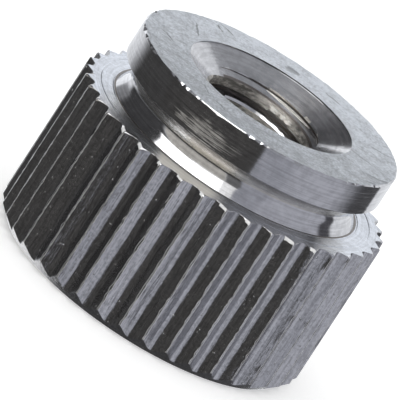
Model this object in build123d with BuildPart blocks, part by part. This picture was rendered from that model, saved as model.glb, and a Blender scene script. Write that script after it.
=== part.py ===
"""Knurled nut with a turned collar and a wide entry countersink.

One turned piece, in millimetres. The nut stands on the flat end of its knurled
head, with the thread axis on +Z and the origin at the centre of that end.
From the bottom up it is the knurled head, an undercut with a round nose and a
straight flank, and a plain round collar whose top is the bearing face.
"""

import os
from math import cos, radians, sin, tan

from build123d import *

# ---- Driving dimensions ----

# Head
head_diameter = 20.0  # over the crests of the knurl
head_height = 10.0
head_chamfer = 0.75  # 45 degrees, round the free end
shoulder_edge_break = 0.12  # 45 degrees, where the teeth meet the shoulder

# Straight knurl: V grooves with a rounded root
tooth_count = 40
groove_depth = 0.48
groove_angle = 105.0  # between the two flanks
groove_root_radius = 0.45

# Undercut between the head and the collar
undercut_diameter = 14.8  # at its deepest
undercut_width = 2.0
undercut_nose_radius = 0.92
undercut_flank_lean = 38.0  # of the flank down to the shoulder, from the axis

# Collar
collar_diameter = 17.0
collar_height = 2.0
collar_edge_break = 0.08  # 45 degrees, round both rims

# Bore for an M8 thread
bore_diameter = 7.0  # over the crests of the thread
countersink_angle = 120.0
collar_countersink_diameter = 10.85
head_countersink_diameter = 8.4

# ---- Sizes that follow ----

head_radius = head_diameter / 2
collar_radius = collar_diameter / 2
collar_underside = head_height + undercut_width
overall_height = collar_underside + collar_height

# The nose of the undercut touches the collar's underside, and a straight flank runs
# from it down to the shoulder.
undercut_bottom = undercut_diameter / 2
nose_centre_radius = undercut_bottom + undercut_nose_radius
nose_centre_height = collar_underside - undercut_nose_radius
lean = radians(undercut_flank_lean)
flank_top_radius = nose_centre_radius - undercut_nose_radius * cos(lean)
flank_top_height = nose_centre_height - undercut_nose_radius * sin(lean)
flank_foot_radius = flank_top_radius + (flank_top_height - head_height) * tan(lean)


# ---- Section of one knurl groove, pointing along +X ----

# The flanks meet below the rounded root, at a point this far inside the crests.
flank_half_angle = radians(groove_angle / 2)
root_to_apex = groove_root_radius / sin(flank_half_angle) - groove_root_radius
apex_depth = groove_depth + root_to_apex
apex_radius = head_radius - apex_depth

# The section runs on past the crests by a groove's depth, so it cuts clean through.
mouth_radius = head_radius + groove_depth
mouth_half_width = (mouth_radius - apex_radius) * tan(flank_half_angle)

with BuildSketch() as groove:
    with BuildLine():
        Polyline(
            (apex_radius, 0),
            (mouth_radius, mouth_half_width),
            (mouth_radius, -mouth_half_width),
            close=True,
        )
    make_face()
    fillet(groove.vertices().sort_by(Axis.X)[0], groove_root_radius)


# ---- The nut ----

with BuildPart() as knurled_nut:
    # Half section of the blank, turned about the axis
    with BuildSketch(Plane.XZ):
        with BuildLine():
            Polyline(
                (flank_top_radius, flank_top_height),
                (flank_foot_radius, head_height),
                (head_radius - shoulder_edge_break, head_height),
                (head_radius, head_height - shoulder_edge_break),
                (head_radius, head_chamfer),
                (head_radius - head_chamfer, 0),
                (0, 0),
                (0, overall_height),
                (collar_radius - collar_edge_break, overall_height),
                (collar_radius, overall_height - collar_edge_break),
                (collar_radius, collar_underside + collar_edge_break),
                (collar_radius - collar_edge_break, collar_underside),
                (nose_centre_radius, collar_underside),
            )
            ThreePointArc(
                (nose_centre_radius, collar_underside),
                (undercut_bottom, nose_centre_height),
                (flank_top_radius, flank_top_height),
            )
        make_face()
    revolve(axis=Axis.Z)

    # Straight knurl, with a crest on +X
    half_pitch_angle = 180 / tooth_count
    with BuildSketch():
        with PolarLocations(0, tooth_count, start_angle=half_pitch_angle):
            add(groove.sketch)
    extrude(amount=head_height, mode=Mode.SUBTRACT)

    # Bore, countersunk from both ends
    with Locations(Plane.XY.offset(overall_height)):
        CounterSinkHole(
            radius=bore_diameter / 2,
            counter_sink_radius=collar_countersink_diameter / 2,
            counter_sink_angle=countersink_angle,
        )
    with Locations(-Plane.XY):
        CounterSinkHole(
            radius=bore_diameter / 2,
            counter_sink_radius=head_countersink_diameter / 2,
            counter_sink_angle=countersink_angle,
        )

knurled_nut.part.label = "knurled_nut"

os.makedirs("parts", exist_ok=True)
export_step(knurled_nut.part, "parts/knurled_nut.step")
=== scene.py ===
"""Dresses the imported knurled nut: its worn knurl, turned faces, M8 thread and steel finish.

Everything is in metres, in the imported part's frame: the thread axis is +Z and the flat
end of the head stands on the floor at z = 0. Angles round the axis are in degrees and
start at +X. The front is the side at -Y, and left and right are as seen from there.
"""

from math import atan2, cos, degrees, pi, radians, sin, sqrt, tan

import bmesh
import bpy
import numpy as np
from mathutils import Matrix, Vector

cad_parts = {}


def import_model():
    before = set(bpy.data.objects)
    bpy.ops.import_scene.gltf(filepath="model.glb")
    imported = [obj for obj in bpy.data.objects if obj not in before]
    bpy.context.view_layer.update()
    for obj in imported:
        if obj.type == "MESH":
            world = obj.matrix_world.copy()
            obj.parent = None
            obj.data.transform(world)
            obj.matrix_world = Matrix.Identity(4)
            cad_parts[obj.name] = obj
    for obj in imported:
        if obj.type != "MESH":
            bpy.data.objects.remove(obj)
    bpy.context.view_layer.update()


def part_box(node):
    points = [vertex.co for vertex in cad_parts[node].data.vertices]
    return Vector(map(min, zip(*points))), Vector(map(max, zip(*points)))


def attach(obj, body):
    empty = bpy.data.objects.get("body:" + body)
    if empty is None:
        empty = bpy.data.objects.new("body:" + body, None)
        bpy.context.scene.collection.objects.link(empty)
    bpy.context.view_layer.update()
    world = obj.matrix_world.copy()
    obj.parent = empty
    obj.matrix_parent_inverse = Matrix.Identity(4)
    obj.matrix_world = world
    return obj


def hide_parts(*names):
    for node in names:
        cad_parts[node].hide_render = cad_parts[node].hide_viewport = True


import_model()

MM = 0.001
NODE = "knurled_nut"

low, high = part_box(NODE)

# ---- Sizes of the nut, as in the solid ----

crest_radius = (high.x - low.x) / 2
overall_height = high.z
head_height = 10.0 * MM
chamfer = 0.75 * MM
edge_break = 0.16 * MM  # rounds the crests' top ends

tooth_count = 40
groove_depth = 0.48 * MM
flank_angle = radians(105 / 2)  # between a flank and the groove's centre line
root_radius = 0.45 * MM
crest_rounding = 0.075 * MM

neck_radius = 7.4 * MM
neck_nose = 0.92 * MM
neck_lean = radians(38)  # of the straight flank below the nose, from the axis
collar_radius = 8.5 * MM
collar_height = 2.0 * MM
collar_break = 0.08 * MM
collar_underside = overall_height - collar_height
nose_centre_radius = neck_radius + neck_nose
nose_centre_height = collar_underside - neck_nose
neck_flank_top = nose_centre_height - neck_nose * sin(neck_lean)
neck_flank_width = (neck_flank_top - head_height) * tan(neck_lean)
neck_foot = nose_centre_radius - neck_nose * cos(neck_lean) + neck_flank_width

thread_pitch = 1.25 * MM
thread_crest = 3.5 * MM
thread_root = 4.0 * MM
thread_root_flat = 0.12 * MM
cone_slope = tan(radians(60))  # a countersink's radius gained for each unit of height
top_cone_radius = 5.425 * MM
bottom_cone_radius = 4.2 * MM

# ---- Sizes that only the dressed nut has ----

# The rolled knurl: its pitch, and the first crest's place from the middle of the view, to the right
rolled_pitch = 8.95
first_crest = -36.84
wall_rows = 36
wall_seed = 8
left_ragged, right_ragged = 0.14, 0.1  # how unevenly a crest's corners run, in degrees
nick_size = 0.005 * MM
break_reach = 0.3 * MM  # inward from the crests, where their edge break has nearly faded
# Columns where a burr may start and end, each up to the second number and without it
burr_start, burr_end = (15, 20), (21, 25)

# The uneven edge break round the collar's face
rim_seed = 5
rim_width = 0.075 * MM
rim_wave = 0.018 * MM
rim_grain = 0.012 * MM
rim_narrowest, rim_widest = 0.03 * MM, 0.19 * MM
rim_nicks = 46
smooth_reach = 3  # columns to either side that the waves are smoothed over

column_count = 360  # round the turned faces
turned_start = 9.2 * MM  # radius where the knurl's columns give way to those of the turned faces
flat_rim = 0.03 * MM  # keeps the crests' rounding from shading the shoulder
line_radii = (9.0 * MM, 8.2 * MM)  # of the turned lines on the shoulder
line_depth = 0.022 * MM
shade_ring_width = 0.13 * MM  # width of the painted shade ring round the neck's foot
neck_steps = 20
lip_height = 0.08 * MM  # steep, at the countersink's mouth
cone_depth = 0.75 * MM  # down to where the bore's own columns start
bore_top_depth = 0.8 * MM
bore_floor = 0.1 * MM
bottom_inner_radius = 9.0 * MM
weld_distance = 1e-8
sharp_angle = radians(24)  # faces that meet at more than this keep a sharp edge

# ---- Camera: the reference view, practically without perspective ----

view_azimuth = 1.82
view_elevation = 17.46
view_roll = 33.05  # the thread axis leans this far to the right
frame_width = 22.96 * MM
aim_height = 6.49 * MM
aim_left = 0.23 * MM
lens_length = 1600.0


def camera():
    """A long lens at the reference view's angle, with its roll."""
    data = bpy.data.cameras.new("camera")
    data.lens = lens_length
    data.clip_start = 0.01
    data.clip_end = 10
    distance = frame_width * data.lens / data.sensor_width
    a, e = radians(view_azimuth), radians(view_elevation)
    back = Vector((sin(a) * cos(e), -cos(a) * cos(e), sin(e)))
    right = Vector((cos(a), sin(a), 0))
    aim = Vector((0, 0, aim_height)) - right * aim_left
    turn = (-back).to_track_quat("-Z", "Y").to_matrix().to_4x4()
    roll = Matrix.Rotation(radians(view_roll), 4, "Z")
    made = bpy.data.objects.new("camera", data)
    made.matrix_world = Matrix.Translation(aim + back * distance) @ turn @ roll
    bpy.context.collection.objects.link(made)
    bpy.context.scene.camera = made


# ---- Mesh: rings of points round the axis, joined zone by zone ----

ZONES = (
    "knurl_steel",
    "shoulder_steel",
    "turned_steel",
    "face_steel",
    "cone_steel",
    "thread_steel",
    "flank_steel",
    "painted_glint_steel",
    "nose_steel",
    "painted_shade_steel",
    "edge_wear_and_glint_steel",
    "burr_glint_steel",
)
KNURL, SHOULDER, TURNED, FACE, CONE, THREAD, FLANK, PAINTED_GLINT, NOSE, PAINTED_SHADE, WEAR_AND_GLINT, BURR_GLINT = range(len(ZONES))

points = []
faces = []
face_zones = []


def add_ring(angles, radii, heights):
    """Adds one closed ring of points and returns their numbers."""
    first = sum(len(p) for p in points)
    a = np.radians(angles)
    ring = np.stack([radii * np.cos(a), radii * np.sin(a), heights + 0 * a], 1)
    points.append(ring)
    return np.arange(first, first + len(ring))


def level_ring(angles, radius, height):
    """Adds one ring of a turned face. radius and height may be one for each column."""
    return add_ring(angles, radius + np.zeros(len(angles)), height)


def join(lower, upper, zone):
    """Quads between two rings with the same number of points. zone may be one for each column."""
    zones = np.broadcast_to(zone, len(lower))
    for i in range(len(lower)):
        j = (i + 1) % len(lower)
        faces.append((lower[i], lower[j], upper[j], upper[i]))
        face_zones.append(int(zones[i]))


def zip_rings(outer, outer_angles, inner, inner_angles, zone):
    """Triangles between two rings whose points stand at other angles."""
    i = j = 0
    while i < len(outer) or j < len(inner):
        a, b = outer[i % len(outer)], inner[j % len(inner)]
        next_outer = outer_angles[(i + 1) % len(outer)] + 360 * ((i + 1) // len(outer))
        next_inner = inner_angles[(j + 1) % len(inner)] + 360 * ((j + 1) // len(inner))
        if j >= len(inner) or (i < len(outer) and next_outer <= next_inner):
            faces.append((a, outer[(i + 1) % len(outer)], b))
            i += 1
        else:
            faces.append((a, inner[(j + 1) % len(inner)], b))
            j += 1
        face_zones.append(zone)


# ---- Knurl ----

# A tooth has 24 columns, from its crest's middle to the next crest's. A quad has its first column's number.
CREST_TOP = (0, -1)
CREST_CORNERS = (1, 2, 3, -4, -3, -2)
RIGHT_CORNER = slice(1, 5)  # columns
LEFT_CORNER = slice(-4, None)
LEFT_EDGE = (-2, -1)

# Teeth are counted to the right from the first crest. These, from the front right round to the back, are
# worn: their burrs are gone and their crests are rubbed bright, shown with wear and a painted highlight.
rubbed_glint_teeth = range(9, 25)
# The crests that follow these teeth have painted shade along their left edge
shade_edged_teeth = range(8, 13)


def half_tooth():
    """The knurl's section from a crest's middle to a groove's middle: (degrees from the crest, radius)."""
    # In the groove's own frame: x across from its centre line, y out from the thread axis
    lean = pi / 2 - flank_angle  # how far a flank's face leans from the crest's
    arc_centre = crest_radius - groove_depth + root_radius
    apex = arc_centre - root_radius / sin(flank_angle)
    # Half the groove's width where its flanks meet the crests' circle, found step by step
    edge = 0.0
    for _ in range(20):
        edge = (sqrt(crest_radius**2 - edge**2) - apex) * tan(flank_angle)
    corner = Vector((edge, sqrt(crest_radius**2 - edge**2)))
    down = Vector((-sin(flank_angle), -cos(flank_angle)))
    tangent = crest_rounding * tan(lean / 2)
    flank_top = corner + down * tangent
    flank_foot = Vector((root_radius * sin(lean), arc_centre - root_radius * cos(lean)))
    crest_end = corner + Vector((tangent, 0))
    rounding_centre = crest_end - Vector((0, crest_rounding))
    outline = [crest_end]
    for part in (1 / 3, 2 / 3):
        turn = lean * part
        outline.append(rounding_centre + Vector((-sin(turn), cos(turn))) * crest_rounding)
    outline += [flank_top]
    outline += [flank_top.lerp(flank_foot, part) for part in (0.15, 0.5, 0.85)]
    arc_steps = 4
    for step in range(arc_steps + 1):
        turn = lean * (1 - step / arc_steps)
        outline.append(Vector((root_radius * sin(turn), arc_centre - root_radius * cos(turn))))
    half_pitch = pi / tooth_count
    section = [(0.0, crest_radius)]
    for p in outline:
        section.append((degrees(half_pitch - atan2(p.x, p.y)), min(p.length, crest_radius)))
    return section


def tooth_columns():
    """Angles and radii of every column of the knurl, tooth by tooth."""
    half = half_tooth()
    pitch = 360 / tooth_count
    section = half + [(pitch - a, r) for a, r in half[-2:0:-1]]
    # The rolled knurl closes on itself with one wide tooth
    centre = -90 + view_azimuth + first_crest
    angles, radii = [], []
    for k in range(tooth_count):
        width = rolled_pitch if k < tooth_count - 1 else 360 - rolled_pitch * (tooth_count - 1)
        for a, r in section:
            angles.append(centre + a / pitch * width)
            radii.append(r)
        centre += width
    return np.array(angles), np.array(radii)


def worn(angles, radii, rng):
    """One row of the knurl with ragged crests: each tooth's edge steps a little along its length."""
    per_tooth = len(angles) // tooth_count
    shift = np.zeros((tooth_count, per_tooth))
    drop = np.zeros((tooth_count, per_tooth))
    edge = rng.normal(0, left_ragged, tooth_count)
    nick = np.maximum(rng.normal(-0.6, 1, tooth_count), 0) * nick_size
    shift[:, LEFT_CORNER] = edge[:, None]
    drop[:, LEFT_CORNER] = nick[:, None]
    shift[:, RIGHT_CORNER] = rng.normal(0, right_ragged, tooth_count)[:, None]
    return angles + shift.ravel(), radii - drop.ravel()


def burred_tops(wall, rng):
    """The edge break at the top of each tooth, and the zone of each of its columns.

    The knurling rolled a burr over the top of each tooth's left flank, ragged and of its own length, with a
    painted glint on its faces.
    """
    per_tooth = len(wall) // tooth_count
    outward = np.clip((wall - crest_radius) / break_reach + 1, 0.1, 1)
    broken = outward * rng.uniform(0.6, 1.3, tooth_count).repeat(per_tooth)
    broken = broken.reshape(tooth_count, per_tooth)
    zones = np.full(broken.shape, KNURL)
    for tooth in range(tooth_count):
        if tooth in rubbed_glint_teeth:
            continue
        start, end = rng.integers(*burr_start), rng.integers(*burr_end)
        thick = rng.uniform(0.45, 1.15)
        for column in range(start, end):
            # The burr's faces carry a painted glint
            zones[tooth, column] = BURR_GLINT
            broken[tooth, column] = thick * rng.uniform(0.7, 1.3)
    return broken.ravel() * edge_break, zones.ravel()


def knurl_zones(column_total):
    """The zone of each column of the knurled wall. The crests' rounded corners are rubbed bright: wear, and
    a painted highlight.
    """
    tooth_zones = np.full(column_total // tooth_count, KNURL)
    # Wear and a painted highlight on the crests' rounded corners, and below on the rubbed teeth's crests
    tooth_zones[list(CREST_CORNERS)] = WEAR_AND_GLINT
    zones = np.tile(tooth_zones, (tooth_count, 1))
    zones[np.ix_(rubbed_glint_teeth, CREST_TOP)] = WEAR_AND_GLINT
    # Painted shade along these crests' left edges
    zones[np.ix_(shade_edged_teeth, LEFT_EDGE)] = PAINTED_SHADE
    return zones.ravel()


def knurled_wall(tooth_angles, wall):
    """The knurl, from the bottom flat up to the shoulder's rim.

    Returns the bottom ring, the shoulder's ring and the angles of the shoulder's ring.
    """
    level = np.zeros(len(wall))
    edge_radius = crest_radius - chamfer
    rise = wall - edge_radius
    bottom_edge = add_ring(tooth_angles, level + edge_radius, level)
    ring = bottom_edge
    for part in (1 / 3, 2 / 3, 1):
        upper = add_ring(tooth_angles, edge_radius + rise * part, rise * part)
        join(ring, upper, KNURL)
        ring = upper
    rng = np.random.default_rng(wall_seed)
    broken, top_zones = burred_tops(wall, rng)
    wall_top = head_height - broken
    zones = knurl_zones(len(wall))
    for row in range(1, wall_rows + 1):
        height = rise + (wall_top - flat_rim - rise) * row / wall_rows
        angles, radii = worn(tooth_angles, wall, rng)
        upper = add_ring(angles, radii, height)
        join(ring, upper, zones)
        ring = upper
    for turn in (0, 30, 60, 90):
        inset = broken * (1 - cos(radians(turn)))
        upper = add_ring(angles, radii - inset, wall_top + broken * sin(radians(turn)))
        join(ring, upper, top_zones)
        ring = upper
    shoulder_ring = add_ring(angles, radii - broken - flat_rim, level + head_height)
    join(ring, shoulder_ring, SHOULDER)
    return bottom_edge, shoulder_ring, angles


# ---- Turned faces ----


def nicked_rim(count):
    """The width of the edge break round the collar's face: uneven, with a few small nicks."""
    rng = np.random.default_rng(rim_seed)
    rough = rng.normal(0, 1, count)
    width = 2 * smooth_reach + 1
    smooth = sum(np.roll(rough, k) for k in range(-smooth_reach, smooth_reach + 1)) / sqrt(width)
    nicks = np.zeros(count)
    for place in rng.integers(0, count, rim_nicks):
        size = rng.uniform(0.02, 0.07) * MM
        nicks[place] += size
        nicks[(place + 1) % count] += size * rng.uniform(0.2, 0.9)
    uneven = rim_width + rim_wave * smooth + rim_grain * rough
    return np.clip(uneven + nicks, rim_narrowest, rim_widest)


def shoulder_profile():
    """The shoulder from the knurl in, as rings: radius, height, and the zone of the faces up to it."""
    profile = []
    for r in line_radii:
        # Across the line: mm from its middle, and depth
        for side, sink in ((0.07, 0), (0.05, 0), (0, line_depth), (-0.05, 0), (-0.07, 0)):
            profile.append((r + side * MM, head_height - sink, SHOULDER))
    profile.append((neck_foot + shade_ring_width, head_height, SHOULDER))
    # A ring of painted shade round the neck's foot
    profile.append((neck_foot, head_height, PAINTED_SHADE))
    return profile


def neck_profile():
    """The neck's straight flank and its nose, from the foot up."""
    profile = []
    # Rings close to the flank's ends keep its shading flat
    for part in (0.02, 0.35, 0.7, 0.98):
        z = (neck_flank_top - head_height) * part
        profile.append((neck_foot - z * tan(neck_lean), head_height + z, FLANK))
    for k in range(1, neck_steps + 1):
        t = neck_lean - (neck_lean + pi / 2) * k / neck_steps
        zone = FLANK if t > radians(-3) else NOSE
        radius = nose_centre_radius - neck_nose * cos(t)
        profile.append((radius, nose_centre_height - neck_nose * sin(t), zone))
    return profile


def collar_profile():
    """The collar from its underside, over its face and down the countersink."""
    under_break = 0.03 * MM
    profile = [
        (collar_radius - under_break, collar_underside, NOSE),
        (collar_radius, collar_underside + under_break, TURNED),
    ]
    for z in np.linspace(collar_underside + under_break, overall_height - collar_break, 9)[1:]:
        profile.append((collar_radius, z, TURNED))
    nicked = nicked_rim(column_count)
    profile[-1] = (collar_radius, overall_height - nicked, TURNED)
    profile.append((collar_radius - nicked, overall_height, TURNED))
    for r in np.linspace(collar_radius - 0.25 * MM, top_cone_radius, 7):
        profile.append((r, overall_height, FACE))
    # A steep lip, then the cone
    cone_end = overall_height - cone_depth
    profile.append((top_cone_radius, overall_height - lip_height, TURNED))
    for part in np.linspace(0, 1, 6)[1:]:
        z = overall_height - lip_height + (cone_end - overall_height + lip_height) * part
        profile.append((top_cone_radius - part * cone_slope * cone_depth, z, CONE))
    return profile


def bottom_face(bottom_edge, tooth_angles, bore_angles):
    """The head's flat end and its countersink. Returns the countersink's inner ring."""
    ring = level_ring(bore_angles, bottom_inner_radius, 0.0)
    zip_rings(bottom_edge, tooth_angles, ring, bore_angles, FACE)
    for r in np.linspace(bottom_inner_radius, bottom_cone_radius, 6)[1:]:
        upper = level_ring(bore_angles, r, 0.0)
        join(ring, upper, FACE)
        ring = upper
    bottom_end = level_ring(bore_angles, bottom_cone_radius - cone_slope * bore_floor, bore_floor)
    join(ring, bottom_end, CONE)
    return bottom_end


def build_mesh():
    """Fills points, faces and face_zones with the whole nut, closed all round."""
    tooth_angles, wall = tooth_columns()
    round_angles = tooth_angles[0] + np.arange(column_count) * 1.0
    bottom_edge, shoulder_ring, shoulder_angles = knurled_wall(tooth_angles, wall)
    ring = level_ring(round_angles, turned_start, head_height)
    zip_rings(shoulder_ring, shoulder_angles, ring, round_angles, SHOULDER)
    for r, z, zone in shoulder_profile() + neck_profile() + collar_profile():
        upper = level_ring(round_angles, r, z)
        join(ring, upper, zone)
        ring = upper
    # The bore has one column every two degrees
    bore_angles = round_angles[::2]
    bore_top_height = overall_height - bore_top_depth
    bore_top = level_ring(bore_angles, top_cone_radius - cone_slope * bore_top_depth, bore_top_height)
    zip_rings(ring, round_angles, bore_top, bore_angles, CONE)
    bottom_end = bottom_face(bottom_edge, tooth_angles, bore_angles)
    thread(bore_angles, bore_floor, bore_top_height, bottom_end, bore_top)


# ---- Thread ----

# Rows of one turn of the thread, from the middle of its groove up
CREST_LOW, CREST_EDGE, FLANK_TOP, FLANK_LOW = 5, 7, 8, 9
# Its zones, each above its row: groove, hidden flank, crest, and the flank that faces up. The groove and a
# line at the crest's edge have painted shade, and the flank's part next to the groove a painted highlight on
# turn -1
THREAD_ZONES = (PAINTED_SHADE, THREAD, THREAD, THREAD, THREAD, THREAD, THREAD, PAINTED_SHADE, CONE, PAINTED_GLINT, PAINTED_SHADE)

# Turns are counted from the one at the countersink, 0, and down into the bore
bottom_turn = -13
turns_end = 3
# Where the tap tore the first turn, in degrees, and how far past that its groove keeps its painted shade
torn_from, torn_to = 48, 96
torn_tail = 12

# Where a groove's middle stands on the far wall
groove_angle = 90 + view_azimuth
groove_top = overall_height - 0.96 * MM
half_root = thread_root_flat / 2
thread_flank = (thread_root - thread_crest) * tan(radians(30))
crest_flat = thread_pitch - thread_root_flat - 2 * thread_flank

# Bright lines at the far side, by turn: middle and reach in degrees. On turn -1 the line is a painted
# highlight; on turn -2 it is modelled
BRIGHT_LINES = {-1: (72, 27), -2: (94, 46)}
bright_enough = 0.2
edge_lift = 0.1 * MM
flank_lift = 0.15 * MM
flank_lean_in = 0.03 * MM

# Chips torn up on the thread's crests: turn, angle and half width in degrees, depth
CHIPS = ((-1, 83, 6, 0.2 * MM), (-1, 72, 4, 0.18 * MM), (-1, 65, 3, 0.16 * MM))
# Chips deeper than this carry a painted glint
bright_chip = 0.13 * MM


def bright_line(turn, angle):
    """Width, up to 1, of a turn's bright line here.

    It lies under the groove's root on turn -1, where it is a painted highlight, and along the crest's upper
    edge on turn -2.
    """
    middle, reach = BRIGHT_LINES.get(turn, (0, 0.1))
    return max(sqrt(max(1 - ((angle - middle) / reach) ** 2, 0)), 0.1)


def chip_depth(turn, angle):
    """How far a torn chip stands into the bore here."""
    depth = 0.0
    for chip_turn, middle, reach, height in CHIPS:
        if chip_turn == turn:
            depth = max(depth, height * min(2 - 2 * abs(angle - middle) / reach, 1))
    return depth


def thread_radius(part):
    """The radius at this part of a flank, from the root in."""
    return thread_root - (thread_root - thread_crest) * part


def thread_section():
    """One turn of the thread, row by row: height above a groove's middle, and radius."""
    return [
        (0.0, thread_root),
        (half_root, thread_root),
        (half_root + thread_flank * 0.35, thread_radius(0.35)),
        (half_root + thread_flank * 0.7, thread_radius(0.7)),
        (half_root + thread_flank, thread_crest),
        (half_root + thread_flank + crest_flat * 0.3, thread_crest),
        (half_root + thread_flank + crest_flat * 0.7, thread_crest),
        (half_root + thread_flank + crest_flat, thread_crest),
        (thread_pitch - half_root - thread_flank * 0.7, thread_radius(0.7)),
        (thread_pitch - half_root - thread_flank * 0.35, thread_radius(0.35)),
        (thread_pitch - half_root, thread_root),
    ]


def thread_row(turn, row, offset, radius, angle):
    """A row's height and radius at this angle, moved for the bright lines and the chips."""
    bright = bright_line(turn, angle)
    if row == FLANK_LOW:
        part = 0.35 * bright
        offset = (turn + 1) * thread_pitch - half_root - thread_flank * part
        radius = thread_radius(part)
    if (turn, row) == (-2, CREST_EDGE):
        offset += edge_lift * bright
    if (turn, row) == (-2, FLANK_TOP):
        offset += flank_lift * bright
        radius -= flank_lean_in * bright
    if row == CREST_LOW:
        radius -= chip_depth(turn, angle)
    return offset, radius


def thread_zone(turn, row, angle, next_angle):
    """The zone of a quad above this row, where it isn't on the countersink's cone."""
    bright = bright_line(turn, angle) > bright_enough
    if turn == 0 and row < CREST_EDGE and not torn_from < angle < torn_to:
        # Outside the torn part, the first turn's groove has painted shade
        return CONE if row or angle > torn_to + torn_tail else PAINTED_SHADE
    # The flank's part next to the groove on turn -1 carries a painted highlight where its bright line is
    # wide enough
    if THREAD_ZONES[row] == PAINTED_GLINT and (turn < -1 or not bright):
        return CONE
    if (turn, row) == (-2, CREST_EDGE) and bright:
        return TURNED
    # Deep chips carry a painted glint
    if row == CREST_LOW and min(chip_depth(turn, angle), chip_depth(turn, next_angle)) > bright_chip:
        return PAINTED_GLINT
    return THREAD_ZONES[row]


def thread_columns(angles, floor, cap, floor_ring, cap_ring):
    """Adds the thread's points. Returns each column's point numbers, and all numbers on the cone."""
    section = thread_section()
    rows = []
    for turn in range(bottom_turn, turns_end):
        for row, (offset, radius) in enumerate(section):
            rows.append((turn, row, turn * thread_pitch + offset, radius))
    columns = []
    on_cone = {int(i) for i in cap_ring}
    total = sum(len(p) for p in points)
    made = []
    for c, angle in enumerate(angles):
        lift = groove_top + thread_pitch * (angle - groove_angle) / 360
        ids = []
        for turn, row, offset, radius in rows:
            offset, radius = thread_row(turn, row, offset, radius, angle)
            z = lift + offset
            if z <= floor:
                ids.append(floor_ring[c])
                continue
            if z >= cap:
                ids.append(cap_ring[c])
                continue
            cone_radius = top_cone_radius - cone_slope * (overall_height - z)
            if cone_radius > radius:
                on_cone.add(total)
            r = max(radius, cone_radius, bottom_cone_radius - cone_slope * z)
            a = radians(angle)
            made.append((r * cos(a), r * sin(a), z))
            ids.append(total)
            total += 1
        columns.append(ids)
    points.append(np.array(made))
    return columns, on_cone


def thread(angles, floor, cap, floor_ring, cap_ring):
    """The helical thread between two level rings, cut off where it meets the two cones."""
    columns, on_cone = thread_columns(angles, floor, cap, floor_ring, cap_ring)
    per_turn = len(THREAD_ZONES)
    top_row = len(columns[0]) - 1
    for c, angle in enumerate(angles):
        last = c + 1 == len(angles)
        here = columns[c]
        there = columns[(c + 1) % len(angles)]
        next_angle = angle if last else angles[c + 1]
        # The helix has risen by a turn where the columns close
        shift = per_turn if last else 0
        for level in range(top_row):
            upper = min(level + 1 + shift, top_row)
            lower = min(level + shift, top_row)
            quad = [here[level], there[lower], there[upper], here[level + 1]]
            kept = [v for n, v in enumerate(quad) if v not in quad[:n]]
            if len(kept) < 3:
                continue
            faces.append(tuple(kept[::-1]))
            if all(v in on_cone for v in kept):
                face_zones.append(CONE)
            else:
                turn = bottom_turn + level // per_turn
                face_zones.append(thread_zone(turn, level % per_turn, angle, next_angle))


def make_nut(materials):
    """The dressed nut, with one material for each zone."""
    build_mesh()
    mesh = bpy.data.meshes.new("dressed_nut")
    mesh.from_pydata(np.concatenate(points).tolist(), [], [tuple(int(v) for v in f) for f in faces])
    mesh.polygons.foreach_set("material_index", face_zones)
    made = bpy.data.objects.new("dressed_nut", mesh)
    bpy.context.collection.objects.link(made)
    for name in ZONES:
        mesh.materials.append(materials[name])
    bm = bmesh.new()
    bm.from_mesh(mesh)
    bmesh.ops.remove_doubles(bm, verts=bm.verts, dist=weld_distance)
    bmesh.ops.recalc_face_normals(bm, faces=bm.faces)
    bm.to_mesh(mesh)
    bm.free()
    mesh.shade_smooth()
    mesh.set_sharp_from_angle(angle=sharp_angle)
    return made


# ---- Nodes ----


def add_node(tree, kind, inputs=None, **settings):
    """Adds a node. inputs maps its sockets, by name or number, to values or to other nodes' outputs."""
    made = tree.nodes.new(kind)
    for name, value in settings.items():
        setattr(made, name, value)
    for socket, value in (inputs or {}).items():
        if isinstance(value, bpy.types.NodeSocket):
            tree.links.new(value, made.inputs[socket])
        else:
            made.inputs[socket].default_value = value
    return made


def math_node(tree, operation, a, b=0.0, c=0.0):
    return add_node(tree, "ShaderNodeMath", {0: a, 1: b, 2: c}, operation=operation).outputs[0]


def vector_node(tree, operation, inputs):
    """A vector operation. Returns its vector and its value."""
    return add_node(tree, "ShaderNodeVectorMath", inputs, operation=operation).outputs


def difference(tree, a, b):
    return vector_node(tree, "SUBTRACT", {0: a, 1: b})[0]


def scaled(tree, vector, factors):
    return vector_node(tree, "MULTIPLY", {0: vector, 1: factors})[0]


def length(tree, vector):
    return vector_node(tree, "LENGTH", {0: vector})[1]


def dot(tree, vector, direction):
    return vector_node(tree, "DOT_PRODUCT", {0: vector, 1: direction})[1]


def object_place(tree):
    return add_node(tree, "ShaderNodeTexCoord").outputs["Object"]


def split(tree, vector):
    """The vector's x, y and z."""
    return add_node(tree, "ShaderNodeSeparateXYZ", {0: vector}).outputs


def axis_distance(tree, x, y):
    squares = math_node(tree, "MULTIPLY", x, x), math_node(tree, "MULTIPLY", y, y)
    return math_node(tree, "SQRT", math_node(tree, "ADD", *squares))


def map_range(tree, value, low, high, out_low=0.0, out_high=1.0, interpolation="LINEAR"):
    inputs = {"Value": value, "From Min": low, "From Max": high, "To Min": out_low, "To Max": out_high}
    made = add_node(tree, "ShaderNodeMapRange", inputs, interpolation_type=interpolation)
    return made.outputs["Result"]


def noise(tree, vector, scale, detail=2.0, roughness=0.5):
    inputs = {"Vector": vector, "Scale": scale, "Detail": detail, "Roughness": roughness}
    return add_node(tree, "ShaderNodeTexNoise", inputs).outputs["Fac"]


def mix_color(tree, mask, under, over):
    """over where the mask is 1, under where it is 0."""
    made = add_node(tree, "ShaderNodeMix", {0: mask}, data_type="RGBA")
    for socket, value in ((made.inputs[6], under), (made.inputs[7], over)):
        if isinstance(value, bpy.types.NodeSocket):
            tree.links.new(value, socket)
        else:
            socket.default_value = (*value, 1)
    return made.outputs[2]


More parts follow.
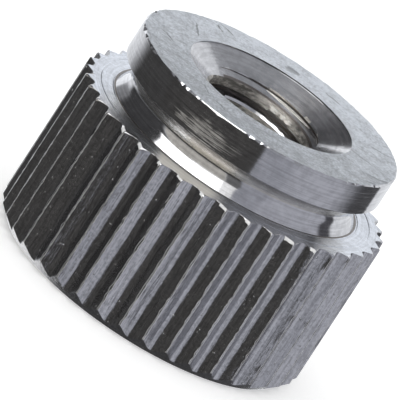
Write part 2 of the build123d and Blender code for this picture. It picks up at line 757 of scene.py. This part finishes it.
def bump(tree, height, depth, under=None):
    """A bump of this depth in metres, over another bump's normal."""
    inputs = {"Height": height, "Distance": depth, "Strength": 1.0}
    if under:
        inputs["Normal"] = under
    return add_node(tree, "ShaderNodeBump", inputs).outputs[0]


# ---- Steel ----


def steel(name, color, roughness):
    """A plain steel. Returns the material, its nodes and its shader."""
    material = bpy.data.materials.new(name)
    material.use_nodes = True
    shader = material.node_tree.nodes["Principled BSDF"]
    shader.inputs["Base Color"].default_value = (*color, 1)
    shader.inputs["Metallic"].default_value = 1
    shader.inputs["Roughness"].default_value = roughness
    return material, material.node_tree, shader


def finish(tree, shader, normal, shade, color, darkest, brightest):
    """Gives the shader its bumps, and its colour between two shares of color."""
    tree.links.new(normal, shader.inputs["Normal"])
    dark = tuple(c * darkest for c in color)
    bright = tuple(min(c * brightest, 1) for c in color)
    tree.links.new(mix_color(tree, shade, dark, bright), shader.inputs["Base Color"])


def turning_vector(tree, sweep):
    """Coordinates that stay nearly the same round the axis, so that a noise in them makes turning lines.

    sweep is how fast the lines change along their length.
    """
    x, y, z = split(tree, object_place(tree))
    radius = axis_distance(tree, x, y)
    angle = math_node(tree, "ARCTAN2", y, x)
    round_place = math_node(tree, "MULTIPLY", math_node(tree, "SINE", angle), sweep)
    profile = math_node(tree, "SUBTRACT", radius, z)
    return add_node(tree, "ShaderNodeCombineXYZ", {0: profile, 1: round_place, 2: z}).outputs[0]


def rubbed_spot(tree):
    """How deep the collar's streaks are: deepest in one rubbed place at its front left."""
    place = object_place(tree)
    away = difference(tree, place, (-1.9 * MM, -8.3 * MM, 12.65 * MM))
    far = length(tree, scaled(tree, away, (1 / (2.1 * MM), 1 / (3 * MM), 1 / (0.6 * MM))))
    far = math_node(tree, "ADD", far, math_node(tree, "MULTIPLY", noise(tree, place, 1500), 1.2))
    return map_range(tree, far, 1.1, 1.8, 3.0, 0.45)


def turned(name, color, roughness, streak_depth, line_depth, rubbed=False):
    """Steel with turning marks round the axis: broad streaks and fine lines, depths in metres."""
    material, tree, shader = steel(name, color, roughness)
    shader.inputs["Anisotropic"].default_value = 0.6
    shader.inputs["Anisotropic Rotation"].default_value = 0.25
    round_axis = add_node(tree, "ShaderNodeTangent", direction_type="RADIAL", axis="Z")
    tree.links.new(round_axis.outputs[0], shader.inputs["Tangent"])
    streaks = noise(tree, turning_vector(tree, 0.0009), 3300, detail=3.0, roughness=0.6)
    height = map_range(tree, streaks, 0.45, 0.8)
    if rubbed:
        height = math_node(tree, "MULTIPLY", height, rubbed_spot(tree))
    normal = bump(tree, height, streak_depth)
    lines = noise(tree, turning_vector(tree, 0.0003), 6500, detail=2.0, roughness=0.7)
    normal = bump(tree, lines, line_depth, normal)
    stains = noise(tree, object_place(tree), 1800, detail=4.0, roughness=0.65)
    shade = map_range(tree, math_node(tree, "ADD", lines, stains), 0.8, 1.2)
    finish(tree, shader, normal, shade, color, 0.78, 1.06)
    return material


def shoulder(name, color, roughness):
    """The shoulder's turned steel, with a painted highlight: a paler and duller patch from its front left to
    its middle.
    """
    material = turned(name, color, roughness, 1.2e-5, 4e-6)
    tree = material.node_tree
    shader = tree.nodes["Principled BSDF"]
    x, y = split(tree, object_place(tree))[:2]
    left = map_range(tree, x, -3.8 * MM, -3.0 * MM, 0.0, 1.0, "SMOOTHSTEP")
    right = map_range(tree, x, 0.1 * MM, 1.6 * MM, 1.0, 0.0, "SMOOTHSTEP")
    front = map_range(tree, y, -7.0 * MM, -6.0 * MM, 1.0, 0.0)
    outer = map_range(tree, axis_distance(tree, x, y), 8.2 * MM, 8.45 * MM)
    mask = math_node(tree, "MULTIPLY", math_node(tree, "MULTIPLY", left, right),
                     math_node(tree, "MULTIPLY", front, outer))
    under = shader.inputs["Base Color"].links[0].from_socket
    # Painted highlight: the patch is paler and less metallic, so the diffuse light shows it bright
    tree.links.new(mix_color(tree, mask, under, (0.8, 0.78, 0.74)), shader.inputs["Base Color"])
    tree.links.new(math_node(tree, "MULTIPLY_ADD", mask, -0.75, 1.0), shader.inputs["Metallic"])
    return material


# Marks on the collar's face in mm, as seen from above with the front at -Y: from, to, half width
SCRATCHES = (
    ((-0.5, 6.5), (0.45, 6.75), 0.5),
    ((-4.9, 6.5), (-3.9, 5.9), 0.09),
    ((-5.1, 6.1), (-4.6, 5.2), 0.08),
    ((-6.1, 4.0), (-5.5, 2.0), 0.08),
    ((7.0, -2.35), (8.6, -1.35), 0.2),
    ((7.2, -3.4), (8.2, -2.9), 0.12),
    ((5.2, 0.2), (7.0, -0.3), 0.08),
    ((6.2, 2.6), (7.4, 3.0), 0.08),
    ((2.2, 6.6), (3.4, 6.2), 0.1),
    ((-2.4, -6.6), (-1.1, -7.2), 0.06),
    ((0.3, -7.6), (1.6, -8.3), 0.08),
    ((-7.4, -0.6), (-6.3, -1.5), 0.08),
    ((-3.6, -5.2), (-2.9, -6.1), 0.08),
)


def scratch_mask(tree, place, start, end, half_width):
    """1 along a short line on the collar's face, fading at its sides."""
    a, b = Vector((*start, 0)) * MM, Vector((*end, 0)) * MM
    along = (b - a).normalized()
    from_middle = difference(tree, place, tuple((a + b) / 2))
    run = dot(tree, from_middle, tuple(along))
    off = dot(tree, from_middle, (-along.y, along.x, 0))
    half_length = (b - a).length / 2
    ends = map_range(tree, math_node(tree, "ABSOLUTE", run), half_length * 0.6, half_length, 1.0, 0.0)
    sides = map_range(tree, math_node(tree, "ABSOLUTE", off), 0.0, half_width * MM, 1.0, 0.0)
    return math_node(tree, "MULTIPLY", ends, sides)


def ragged_place(tree, place):
    """place, moved a little this way and that, so that the marks' edges are ragged."""
    wobble = add_node(tree, "ShaderNodeTexNoise", {"Vector": place, "Scale": 2500.0, "Detail": 2.0})
    centred = difference(tree, wobble.outputs["Color"], (0.5, 0.5, 0.5))
    moved = vector_node(tree, "SCALE", {0: centred, "Scale": 0.4 * MM})[0]
    return vector_node(tree, "ADD", {0: place, 1: moved})[0]


def worn_face_with_painted_shade(name, color, roughness):
    """The collar's matt, mottled face, with scratches, and painted shade: darker towards the front, lighter
    towards the back.
    """
    material, tree, shader = steel(name, color, roughness)
    place = object_place(tree)
    blotches = noise(tree, place, 1000, detail=6.0, roughness=0.75)
    grain = noise(tree, place, 5500, detail=3.0, roughness=0.7)
    normal = bump(tree, blotches, 1.6e-4)
    normal = bump(tree, grain, 4e-5, normal)
    for stretch in ((600, 8000, 500), (7000, 900, 500)):
        marks = noise(tree, scaled(tree, place, stretch), 1.0, detail=2.0, roughness=0.6)
        normal = bump(tree, map_range(tree, marks, 0.62, 0.7), -2e-5, normal)
    ragged = ragged_place(tree, place)
    cuts = 0.0
    for start, end, half_width in SCRATCHES:
        cuts = math_node(tree, "MAXIMUM", cuts, scratch_mask(tree, ragged, start, end, half_width))
    normal = bump(tree, cuts, -8e-5, normal)
    y = split(tree, place)[1]
    shade = map_range(tree, math_node(tree, "ADD", blotches, grain), 0.78, 1.22)
    # Painted shade and light: the colour darkens towards the front and lightens towards the back, by
    # position alone
    shade = math_node(tree, "ADD", shade, map_range(tree, y, -7.5 * MM, 7.5 * MM, -0.36, 0.36))
    shade = math_node(tree, "SUBTRACT", shade, math_node(tree, "MULTIPLY", cuts, 1.8))
    finish(tree, shader, normal, shade, color, 0.64, 1.38)
    return material


def rolled(name, color, roughness):
    """The knurl's steel: streaks up the teeth, a fine mottle and a few raised specks."""
    material, tree, shader = steel(name, color, roughness)
    place = object_place(tree)
    streaks = noise(tree, scaled(tree, place, (9000, 9000, 600)), 1.0, detail=2.0, roughness=0.6)
    mottle = noise(tree, place, 5200, detail=3.0, roughness=0.7)
    specks = noise(tree, place, 4200, detail=1.0, roughness=0.5)
    normal = bump(tree, streaks, 1.0e-5)
    normal = bump(tree, mottle, 1.3e-5, normal)
    normal = bump(tree, map_range(tree, specks, 0.74, 0.82), 4e-5, normal)
    shade = map_range(tree, math_node(tree, "ADD", streaks, mottle), 0.8, 1.15)
    finish(tree, shader, normal, shade, color, 0.68, 1.05)
    return material


def torn_with_painted_light(name, color, roughness, metallic, darkest):
    """Torn or rubbed steel with painted light: mottled, with smeared, painted highlights round the axis,
    pale and little metallic.

    It has a painted highlight, lightest and lumpiest at the far side of the thread's first turn, and painted
    shade farther off.
    """
    material, tree, shader = steel(name, color, roughness)
    shader.inputs["Metallic"].default_value = metallic
    place = object_place(tree)
    smears = noise(tree, turning_vector(tree, 0.003), 2600, detail=3.0, roughness=0.65)
    tears = noise(tree, scaled(tree, place, (2400, 2400, 5200)), 1.0, detail=4.0, roughness=0.7)
    far = length(tree, difference(tree, place, (0.7 * MM, 3.5 * MM, 12.45 * MM)))
    # Painted highlight near the far side of the thread's first turn, painted shade farther off
    painted_highlight = map_range(tree, far, 0.6 * MM, 2.4 * MM, 0.35, -0.12)
    lumps = map_range(tree, far, 0.3 * MM, 1.2 * MM, 4.0, 1.0)
    normal = bump(tree, smears, 9e-5)
    normal = bump(tree, math_node(tree, "MULTIPLY", tears, lumps), 6e-5, normal)
    shade = math_node(tree, "ADD", math_node(tree, "ADD", smears, tears), painted_highlight)
    finish(tree, shader, normal, map_range(tree, shade, 0.85, 1.3), color, darkest, 1)
    return material


# ---- Studio ----

floor_lift = 0.3  # what the camera sees added to the floor, so that it is white away from the nut
floor_reach = 3


def floor():
    """A pale floor that the camera sees as white, with the nut's soft shadow on it."""
    mesh = bpy.data.meshes.new("floor")
    s = floor_reach
    mesh.from_pydata([(-s, -s, 0), (s, -s, 0), (s, s, 0), (-s, s, 0)], [], [(0, 1, 2, 3)])
    made = bpy.data.objects.new("floor", mesh)
    bpy.context.collection.objects.link(made)
    material = bpy.data.materials.new("pale_floor")
    material.use_nodes = True
    tree = material.node_tree
    shader = tree.nodes["Principled BSDF"]
    shader.inputs["Base Color"].default_value = (0.9, 0.9, 0.9, 1)
    shader.inputs["Roughness"].default_value = 1
    ray = add_node(tree, "ShaderNodeLightPath").outputs
    seen = math_node(tree, "MAXIMUM", ray["Is Camera Ray"], ray["Is Glossy Ray"])
    seen = math_node(tree, "MAXIMUM", seen, ray["Is Transmission Ray"])
    lift = math_node(tree, "MULTIPLY", seen, floor_lift)
    shader.inputs["Emission Color"].default_value = (1, 1, 1, 1)
    tree.links.new(lift, shader.inputs["Emission Strength"])
    mesh.materials.append(material)
    # The steel mirrors the dome below the horizon instead
    made.visible_glossy = False


def world():
    """A plain white world at strength 1: all the diffuse light, with what the floor throws back of it."""
    made = bpy.data.worlds.new("studio")
    bpy.context.scene.world = made
    made.use_nodes = True
    made.node_tree.nodes["Background"].inputs["Color"].default_value = (1, 1, 1, 1)
    made.node_tree.nodes["Background"].inputs["Strength"].default_value = 1


# What the steel mirrors: sides in degrees round from the camera, to its right; heights in degrees
# above the horizon. Later panels stand in front of earlier ones.
BACKDROP = (0.95, 0.97, 1.0)
PANELS = (
    # azimuths, elevations, colour, softness of the sides, softness of top and bottom
    ((-200, 200), (48, 100), (0.38, 0.39, 0.41), 8, 8),
    ((-134, -80), (60, 100), (1.3, 1.26, 1.17), 4, 4),
    ((-134, -66), (-9, 50), (0.07, 0.07, 0.072), 10, 5),
    ((-172, -131), (10, 66), (0.24, 0.24, 0.25), 12, 20),
    ((-172, -141), (10, 46), (0.1, 0.1, 0.105), 12, 20),
    ((-190, -148), (-12, 13.5), (1.25, 1.28, 1.32), 3, 2),
    ((132, 166), (33, 60), (0.38, 0.39, 0.41), 4, 3),
    ((-200, -128), (-52, -24), (1.0, 1.0, 1.0), 8, 6),
    ((148, 200), (-60, -26), (0.08, 0.08, 0.08), 8, 6),
    ((19, 118), (-100, 62), (0.52, 0.53, 0.58), 1, 1),
    ((10, 48), (-100, 62), (0.42, 0.43, 0.475), 12, 1),
    ((-66, 4), (-100, 52), (0.62, 0.6, 0.55), 5, 5),
    ((4, 19), (-100, 60), (0.2, 0.2, 0.2), 1, 1),
    ((114, 127), (-13, 35), (0.1, 0.1, 0.11), 4, 6),
    ((106, 170), (-100, -13), (0.08, 0.08, 0.085), 30, 6),
    ((143, 200), (-25, -13), (0.95, 0.97, 1.0), 2, 3),
    ((-128, -60), (-50, -9), (0.072, 0.071, 0.07), 30, 1),
    ((-75, 19), (-29, -8), (0.072, 0.07, 0.068), 1, 3),
    ((-200, 200), (-100, -52), (0.07, 0.07, 0.072), 8, 8),
    ((-40, 19), (46, 82), (1.25, 1.25, 1.23), 2, 2),
)
panel_lean = 0.07  # degrees to the right for each degree of height
# Corners of the softbox above the camera's left, as azimuths and elevations
SOFTBOX = ((6, 51), (6, 84), (-110, 78), (-75, 37))
softbox_color = (3.6, 3.6, 3.6)
dome_radius = 2


def direction(azimuth, elevation):
    """The dome's point at these angles, one unit away."""
    a, e = radians(azimuth), radians(elevation)
    return Vector((sin(a) * cos(e), -cos(a) * cos(e), sin(e)))


def edge_mask(tree, value, first, last, soft):
    """1 between first and last, falling to 0 over soft."""
    rise = map_range(tree, value, first - soft / 2, first + soft / 2, 0.0, 1.0, "SMOOTHSTEP")
    fall = map_range(tree, value, last - soft / 2, last + soft / 2, 1.0, 0.0, "SMOOTHSTEP")
    return math_node(tree, "MULTIPLY", rise, fall)


def softbox_mask(tree, away):
    """Where the dome shows the softbox: inside all the planes through its edges."""
    corners = [direction(*c) for c in SOFTBOX]
    middle = sum(corners, Vector())
    mask = 1.0
    for i, corner in enumerate(corners):
        inward = corner.cross(corners[(i + 1) % len(corners)]).normalized()
        if inward.dot(middle) < 0:
            inward.negate()
        depth = dot(tree, away, tuple(inward))
        mask = math_node(tree, "MULTIPLY", mask, map_range(tree, depth, -0.01, 0.01))
    return mask


def dome_color(tree):
    """The dome's colour: the backdrop, the panels and the softbox, by direction."""
    away = vector_node(tree, "NORMALIZE", {0: object_place(tree)})[0]
    x, y, z = split(tree, away)
    azimuth = math_node(tree, "DEGREES", math_node(tree, "ARCTAN2", x, math_node(tree, "MULTIPLY", y, -1.0)))
    elevation = math_node(tree, "DEGREES", math_node(tree, "ARCSINE", z))
    leaning = math_node(tree, "MULTIPLY_ADD", elevation, -panel_lean, azimuth)
    color = BACKDROP
    for sides, heights, panel, soft_sides, soft_ends in PANELS:
        mask = edge_mask(tree, leaning, *sides, soft_sides)
        mask = math_node(tree, "MULTIPLY", mask, edge_mask(tree, elevation, *heights, soft_ends))
        color = mix_color(tree, mask, color, panel)
    return mix_color(tree, softbox_mask(tree, away), color, softbox_color)


def studio_dome():
    """The panels and dark flags round the nut, which only its gloss sees."""
    mesh = bpy.data.meshes.new("studio_dome")
    bm = bmesh.new()
    bmesh.ops.create_uvsphere(bm, u_segments=48, v_segments=24, radius=dome_radius)
    bm.to_mesh(mesh)
    bm.free()
    made = bpy.data.objects.new("studio_dome", mesh)
    made.rotation_euler.z = radians(view_azimuth)
    bpy.context.collection.objects.link(made)
    material = bpy.data.materials.new("studio_panels")
    material.use_nodes = True
    material.cycles.emission_sampling = "NONE"
    tree = material.node_tree
    tree.nodes.remove(tree.nodes["Principled BSDF"])
    glow = add_node(tree, "ShaderNodeEmission", {"Color": dome_color(tree)})
    tree.links.new(glow.outputs[0], tree.nodes["Material Output"].inputs["Surface"])
    mesh.materials.append(material)
    for ray in ("camera", "diffuse", "transmission", "volume_scatter", "shadow"):
        setattr(made, f"visible_{ray}", False)


grey = (0.6, 0.6, 0.62)
materials = {
    "knurl_steel": rolled("knurl_steel", grey, 0.1),
    "shoulder_steel": shoulder("shoulder_steel", (0.68, 0.71, 0.77), 0.25),
    "turned_steel": turned("turned_steel", grey, 0.11, 8e-6, 1.2e-6, rubbed=True),
    "nose_steel": turned("nose_steel", (0.72, 0.69, 0.64), 0.24, 1.2e-5, 5e-6),
    "flank_steel": turned("flank_steel", grey, 0.1, 1e-6, 4e-7),
    "face_steel": worn_face_with_painted_shade("face_steel", (0.59, 0.615, 0.65), 0.38),
    "cone_steel": turned("cone_steel", grey, 0.2, 8e-6, 3e-6),
    # Painted light: the thread's pale, little metallic steel stands in for the light thrown round the bore
    "thread_steel": torn_with_painted_light("thread_steel", (0.95, 0.91, 0.85), 0.3, 0.4, 0.2),
    # Wear and a painted highlight: a paler, less metallic steel on the crests' corners and rubbed crests
    "edge_wear_and_glint_steel": torn_with_painted_light("edge_wear_and_glint_steel", (0.85, 0.85, 0.87), 0.3, 0.65, 0.6),
    # Painted shade: a dark steel for the grooves, the neck's foot and dark lines at edges, where the
    # modelled light leaves them lighter
    "painted_shade_steel": turned("painted_shade_steel", (0.22, 0.2, 0.19), 0.4, 8e-6, 3e-6),
    # Painted highlight: a pale, barely metallic steel for the bright line on turn -1 and the deep chips
    "painted_glint_steel": torn_with_painted_light("painted_glint_steel", (0.95, 0.93, 0.88), 0.3, 0.3, 0.5),
    # Painted glint: near white and barely metallic
    "burr_glint_steel": torn_with_painted_light("burr_glint_steel", (1.0, 1.0, 1.0), 0.25, 0.1, 0.85),
}
nut = make_nut(materials)
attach(nut, "root")
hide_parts(NODE)
floor()
world()
studio_dome()
camera()
bpy.context.scene.view_settings.view_transform = "Standard"
